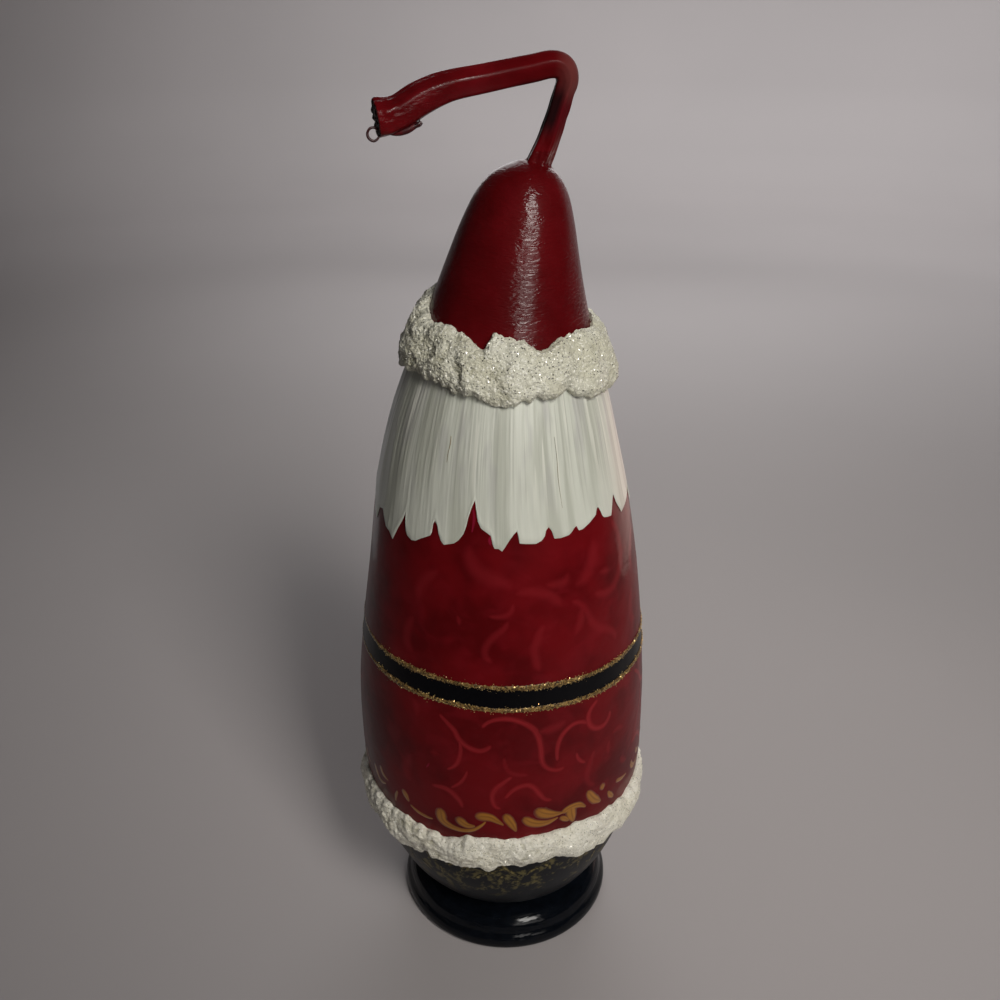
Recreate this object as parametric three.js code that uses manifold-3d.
// Gourd santa figure: a dried bottle gourd with its own crooked stem, standing on a turned foot,
// with two rings of applied texture paste for the fur of the hat and of the coat hem.
// Millimetres, +Z up, origin at the middle of the underside. Azimuths are degrees round Z,
// 0 at the back of the figure (-Y), 90 at +X. The face is on the +Y side.

import * as THREE from 'three';
import { mergeVertices } from 'three/addons/utils/BufferGeometryUtils.js';
import { ParametricGeometry } from 'three/addons/geometries/ParametricGeometry.js';
import Module from 'manifold-3d';

// Driving dimensions.
const GAP = 0.3;
const GOURD_SIDES = 44;
const RINGS_PER_STATION = 2;

// Gourd outline from the sunken blossom end to the crown: radius, height.
const GOURD_OUTLINE = [
  [0, 9], [15, 9.8], [30, 13.8], [43.5, 24.3], [52.5, 39], [59, 59], [62.9, 84], [63, 115], [61.1, 142],
  [57.1, 175], [51.4, 212], [43, 248], [32.6, 279], [24.7, 305.5], [20.7, 319], [16.3, 330], [9.9, 337.6],
  [0, 340.8],
];

// The gourd grew slightly crooked: sideways place of its middle, height.
const GOURD_LEAN = [[0, 0], [-2, 110], [-1.3, 180], [-2.2, 240], [0.5, 290], [6.6, 341]];

// Stem: middle line as x, y, z and the thickness there, from inside the crown to the cut end.
const STEM_SIDES = 20;
const STEM_RINGS = 36;
const STEM_RIDGES = 5;
const STEM_RIDGE_DEPTH = 0.07;
const STEM_LINE = [
  [6.6, 0, 328, 13.5], [8.6, 0, 334, 11.8], [11, 0, 339.5, 9.4], [14.2, 0, 347, 8.4], [17, 0, 355.5, 7.9],
  [19.2, 0, 362.6, 7.8], [20.2, -0.2, 366.8, 8.3], [18.6, -0.6, 370.2, 9], [14.8, -1.2, 371.2, 9.3],
  [8.5, -2, 370, 9.5], [-0.5, -3.2, 368.4, 9.7], [-9.5, -4.6, 366.7, 10], [-17.5, -6.2, 365.3, 10.4],
  [-23.5, -7.2, 363.6, 11.2], [-30, -8.9, 360.7, 11.9], [-36.4, -10.6, 356.9, 12.1], [-40.4, -11.8, 355.6, 13],
  [-44, -13.4, 355, 13.6],
];

// Texture paste: the height of each ring's top and bottom edge at given azimuths.
const HAT_TRIM = {
  sides: 72,
  swell: [[-150, 5], [-105, 5.4], [-75, 5.4], [-40, 4.8], [0, 4.8], [45, 5.2], [80, 5.9], [120, 5.2], [180, 4.8]],
  top: [
    [-150, 292], [-120, 294.5], [-92, 292], [-74, 288], [-60, 285.6], [-46, 286.8], [-29, 285], [-16, 281.5],
    [-8, 285.6], [8, 284.2], [22, 279.8], [37, 283.4], [58, 283.8], [75, 282], [92, 283.4], [120, 285],
    [150, 288], [180, 290],
  ],
  bottom: [
    [-150, 265], [-120, 264], [-90, 264.6], [-70, 267.4], [-50, 267.8], [-38, 267], [-26, 265.2], [-17, 264.8],
    [-6, 262.2], [5, 262.4], [18, 264], [27, 262.8], [34, 264.9], [44, 261.2], [56, 259.6], [72, 258.6],
    [92, 257], [120, 258], [150, 262], [180, 264],
  ],
};
const HEM_TRIM = {
  sides: 80,
  swell: [[-150, 4], [-100, 4.4], [-60, 4], [0, 4.2], [60, 4.2], [100, 3.8], [150, 4]],
  top: [
    [-150, 72.6], [-120, 72.2], [-100, 73.6], [-85, 77.6], [-70, 80.6], [-52, 80.4], [-37, 81.2], [-22, 79], [-12, 82.4],
    [3, 82.2], [16, 83], [31, 83.6], [45, 81.4], [57, 80.2], [72, 80.8], [86, 78.8], [100, 74.8], [125, 72.4],
    [155, 73.2], [180, 71.8],
  ],
  bottom: [
    [-120, 56], [-90, 59.4], [-62, 65.2], [-50, 68.4], [-43, 63.6], [-36, 62.4], [-30, 65.4], [-23, 66.6],
    [-15, 65], [-6, 64.8], [0, 68.4], [7, 66.4], [13, 67.8], [17, 69.6], [29, 65.8], [38, 64.8], [43, 62.8],
    [48, 65.8], [58, 64.6], [90, 59.4], [125, 55.8], [155, 56.8], [180, 55.2],
  ],
};

// Share of the full thickness of the paste, from its bottom lip to its top edge.
const PASTE_SECTION = [[0, 0.42], [0.1, 0.78], [0.3, 1], [0.55, 0.98], [0.78, 0.78], [0.93, 0.48], [1, 0.12]];

// Turned foot: two rounded tiers, radius and height, from the underside's middle to the dish's rim.
const FOOT_SIDES = 54;
const FOOT_OUTLINE = [
  [0, 0], [46.6, 0], [47.9, 1.2], [48.5, 3.4], [48.2, 5.8], [46.9, 7.9], [46, 8.9], [46.6, 10.4],
  [46.7, 12.6], [46, 15.4], [44.4, 17.9], [42.2, 19.3],
];
const FOOT_DISH_STEPS = 9;

// Piecewise values by azimuth, smoothed, closed round the full turn.
function aroundRing(stations) {
  const angles = stations.map(([azimuth]) => azimuth);
  const values = stations.map(([, value]) => value);
  const count = stations.length;
  const at = (index) => values[(index + count) % count];
  return (azimuth) => {
    let wrapped = azimuth;
    while (wrapped < angles[0]) wrapped += 360;
    while (wrapped >= angles[0] + 360) wrapped -= 360;
    let index = count - 1;
    while (angles[index] > wrapped) index -= 1;
    const start = angles[index];
    const end = index + 1 < count ? angles[index + 1] : angles[0] + 360;
    const share = (wrapped - start) / (end - start);
    const eased = share * share * (3 - 2 * share);
    return at(index) + (at(index + 1) - at(index)) * eased;
  };
}

const gourdCurve = new THREE.SplineCurve(GOURD_OUTLINE.map(([radius, height]) => new THREE.Vector2(radius, height)));
const gourdTable = gourdCurve.getSpacedPoints(600);

// Gourd radius and outward slope direction at a height.
function gourdAt(height) {
  let index = 1;
  while (index < gourdTable.length - 1 && gourdTable[index].y < height) index += 1;
  const below = gourdTable[index - 1];
  const above = gourdTable[index];
  const share = (height - below.y) / (above.y - below.y);
  const rise = new THREE.Vector2().subVectors(above, below).normalize();
  return { radius: below.x + (above.x - below.x) * share, outward: new THREE.Vector2(rise.y, -rise.x) };
}

const leanCurve = new THREE.SplineCurve(GOURD_LEAN.map(([shift, height]) => new THREE.Vector2(height, shift)));
const leanTable = leanCurve.getPoints(300);

// Sideways place of the gourd's middle at a height.
function leanAt(height) {
  let index = 1;
  while (index < leanTable.length - 1 && leanTable[index].x < height) index += 1;
  const below = leanTable[index - 1];
  const above = leanTable[index];
  return below.y + ((above.y - below.y) * (height - below.x)) / (above.x - below.x);
}

// Point on the gourd's skin, lifted off it by a distance.
function skinPoint(azimuth, height, lift, target) {
  const { radius, outward } = gourdAt(height);
  const reach = radius + outward.x * lift;
  const raised = height + outward.y * lift;
  const turn = THREE.MathUtils.degToRad(azimuth);
  return target.set(leanAt(height) + reach * Math.sin(turn), -reach * Math.cos(turn), raised);
}

// Keeps positions only, joins shared corners, drops triangles that have no area, faces outward.
function closed(geometry) {
  geometry.deleteAttribute('normal');
  geometry.deleteAttribute('uv');
  const merged = mergeVertices(geometry, 1e-3);
  const corners = merged.attributes.position;
  const kept = [];
  let volume = 0;
  for (let face = 0; face < merged.index.count; face += 3) {
    const [a, b, c] = [0, 1, 2].map((corner) => merged.index.getX(face + corner));
    if (a === b || b === c || c === a) continue;
    kept.push([a, b, c]);
    const [first, second, third] = [a, b, c].map((index) => new THREE.Vector3().fromBufferAttribute(corners, index));
    volume += first.dot(second.cross(third));
  }
  merged.setIndex(kept.flatMap(([a, b, c]) => (volume > 0 ? [a, b, c] : [c, b, a])));
  return merged;
}

const wasm = await Module();
wasm.setup();

function toSolid(geometry) {
  const vertProperties = new Float32Array(geometry.attributes.position.array);
  const triVerts = new Uint32Array(geometry.index.array);
  return new wasm.Manifold(new wasm.Mesh({ numProp: 3, vertProperties, triVerts }));
}

function toGeometry(solid) {
  const mesh = solid.getMesh();
  const geometry = new THREE.BufferGeometry();
  geometry.setAttribute('position', new THREE.Float32BufferAttribute(mesh.vertProperties, 3));
  geometry.setIndex(Array.from(mesh.triVerts));
  return geometry;
}

// The gourd's body: turned outline, then shifted ring by ring along its lean.
function gourdBody() {
  const outline = gourdCurve.getPoints(RINGS_PER_STATION * (GOURD_OUTLINE.length - 1));
  const body = closed(new THREE.LatheGeometry(outline, GOURD_SIDES));
  body.rotateX(Math.PI / 2);
  const corners = body.attributes.position;
  for (let index = 0; index < corners.count; index += 1) {
    corners.setX(index, corners.getX(index) + leanAt(corners.getZ(index)));
  }
  return body;
}

// The stem: a five-ridged section carried along its crooked middle line, with closed ends.
function stem() {
  const line = new THREE.CatmullRomCurve3(STEM_LINE.map(([x, y, z]) => new THREE.Vector3(x, y, z)), false, 'centripetal');
  const stations = STEM_LINE.length - 1;
  const side = new THREE.Vector3(0, 1, 0);
  const surface = (around, along, target) => {
    const ring = Math.min(Math.max(along * (STEM_RINGS + 2) - 1, 0), STEM_RINGS) / STEM_RINGS;
    const isEnd = along === 0 || along === 1;
    const place = ring * stations;
    const index = Math.min(Math.floor(place), stations - 1);
    const share = place - index;
    const thickness = STEM_LINE[index][3] + (STEM_LINE[index + 1][3] - STEM_LINE[index][3]) * share;
    const turn = around * 2 * Math.PI;
    const ridge = 1 - STEM_RIDGE_DEPTH + STEM_RIDGE_DEPTH * Math.cos(STEM_RIDGES * turn);
    const reach = isEnd ? 0 : (thickness / 2) * ridge;
    const heading = line.getTangent(ring);
    const lift = new THREE.Vector3().crossVectors(side, heading).normalize();
    const across = new THREE.Vector3().crossVectors(heading, lift).normalize();
    target.copy(line.getPoint(ring));
    target.addScaledVector(across, reach * Math.cos(turn));
    target.addScaledVector(lift, reach * Math.sin(turn));
  };
  return closed(new ParametricGeometry(surface, STEM_SIDES, STEM_RINGS + 2));
}

// Small lumps of the paste, as a share of its thickness.
function pasteLumps(azimuth, climb) {
  const turn = THREE.MathUtils.degToRad(azimuth);
  const wide = 0.07 * Math.sin(7 * turn + 0.6) + 0.06 * Math.sin(13 * turn + 2.1);
  const fine = 0.06 * Math.sin(19 * turn + 5 * climb) + 0.04 * Math.cos(23 * turn - 4 * climb);
  return 1 + wide + fine;
}

// A ring of texture paste on the gourd's skin: inner face a gap off the skin, outer face lumpy.
function pasteRing({ sides, swell, top, bottom }) {
  const swellAt = aroundRing(swell);
  const topAt = aroundRing(top);
  const bottomAt = aroundRing(bottom);
  const inner = [0, 0.33, 0.67, 1];
  const loop = [
    ...PASTE_SECTION.map(([climb, share]) => ({ climb, share })),
    ...inner.slice().reverse().map((climb) => ({ climb, share: null })),
  ];
  const surface = (around, along, target) => {
    const azimuth = around * 360;
    const station = loop[Math.round(along * loop.length) % loop.length];
    const low = bottomAt(azimuth);
    const height = low + (topAt(azimuth) - low) * station.climb;
    const thickness = swellAt(azimuth) * (station.share ?? 0) * pasteLumps(azimuth, station.climb);
    const lift = GAP + thickness;
    skinPoint(azimuth, height, lift, target);
  };
  return closed(new ParametricGeometry(surface, sides, loop.length));
}

// The foot: two rounded tiers with a dish on top that follows the gourd's underside.
function foot() {
  const outline = FOOT_OUTLINE.map(([radius, height]) => new THREE.Vector2(radius, height));
  const seat = gourdCurve.getSpacedPoints(200).filter((point) => point.y < 40);
  const rimRadius = FOOT_OUTLINE[FOOT_OUTLINE.length - 1][0] - 2;
  for (let step = FOOT_DISH_STEPS; step >= 0; step -= 1) {
    const radius = (rimRadius * step) / FOOT_DISH_STEPS;
    let index = 1;
    while (seat[index].x < radius) index += 1;
    const share = (radius - seat[index - 1].x) / (seat[index].x - seat[index - 1].x);
    const height = seat[index - 1].y + (seat[index].y - seat[index - 1].y) * share;
    outline.push(new THREE.Vector2(radius, height - 2 * GAP));
  }
  const turned = closed(new THREE.LatheGeometry(outline, FOOT_SIDES));
  turned.rotateX(Math.PI / 2);
  return turned;
}

function piece(name, geometry, colour, roughness) {
  const material = new THREE.MeshStandardMaterial({ color: colour, roughness, metalness: 0 });
  const mesh = new THREE.Mesh(geometry, material);
  mesh.name = name;
  return mesh;
}

const figure = new THREE.Group();
figure.add(piece('gourd', toGeometry(toSolid(gourdBody()).add(toSolid(stem()))), 0x6a0d12, 0.3));
figure.add(piece('hat_trim', pasteRing(HAT_TRIM), 0xb5b2a2, 0.85));
figure.add(piece('hem_trim', pasteRing(HEM_TRIM), 0xc8c6b6, 0.85));
figure.add(piece('foot', foot(), 0x10151c, 0.2));

export default figure;
